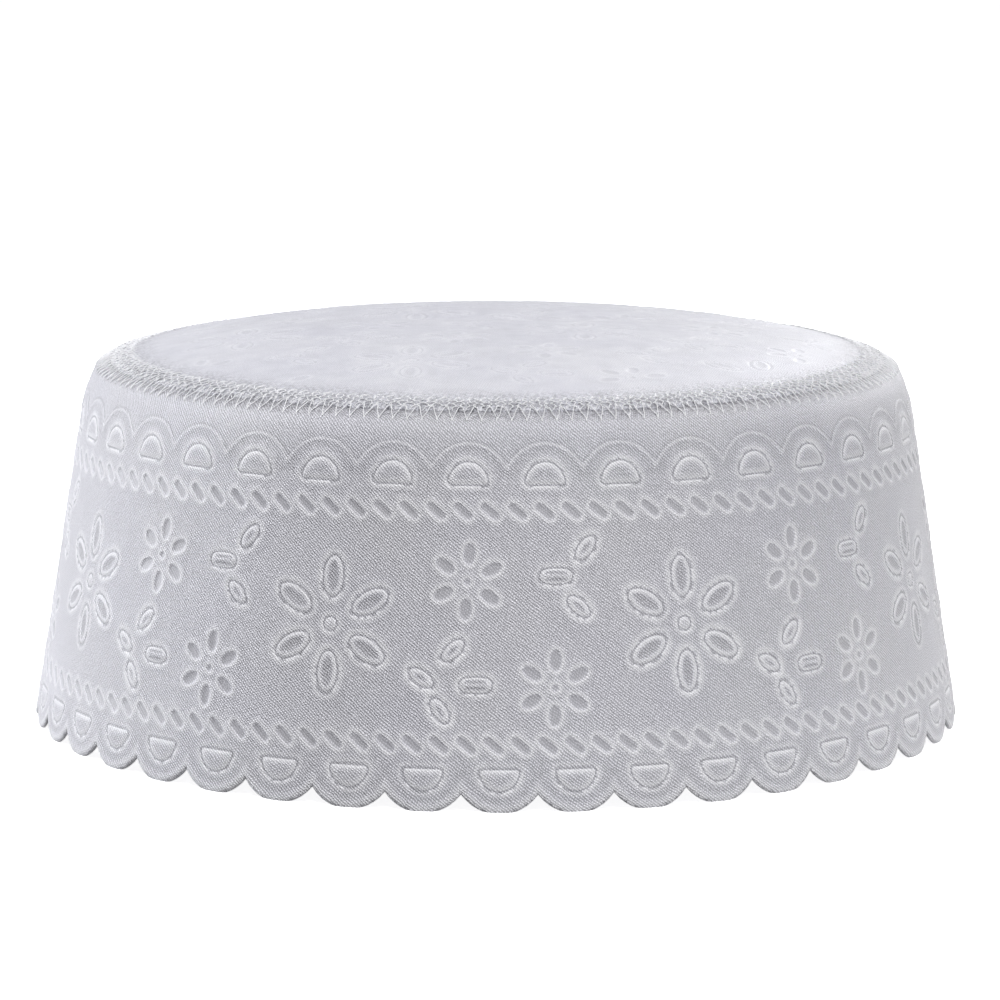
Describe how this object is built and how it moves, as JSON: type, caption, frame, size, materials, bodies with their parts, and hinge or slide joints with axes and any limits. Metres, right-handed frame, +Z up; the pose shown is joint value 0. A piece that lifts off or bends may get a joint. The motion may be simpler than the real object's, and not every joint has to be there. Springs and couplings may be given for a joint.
{
  "type": "prayer cap",
  "caption": "Round stiffened prayer cap: a flared side band with a scalloped hem, closed by a gently domed crown, open below for the head.",
  "frame": {"origin": "centre of the foot, on the surface that the lowest points of the scalloped hem stand on", "axes": "+Z up, the front of the cap faces -Y, +X to the right seen from the front, the plain back seam is at +Y"},
  "size_m": [0.1818, 0.192, 0.0767],
  "materials": {
    "band_satin": "white satin twill with a pressed openwork pattern, soft sheen",
    "crown_satin": "white satin twill with pressed flowers, soft sheen"
  },
  "bodies": {
    "root": {"side_band": "band_satin", "crown": "crown_satin"}
  },
  "joints": []
}
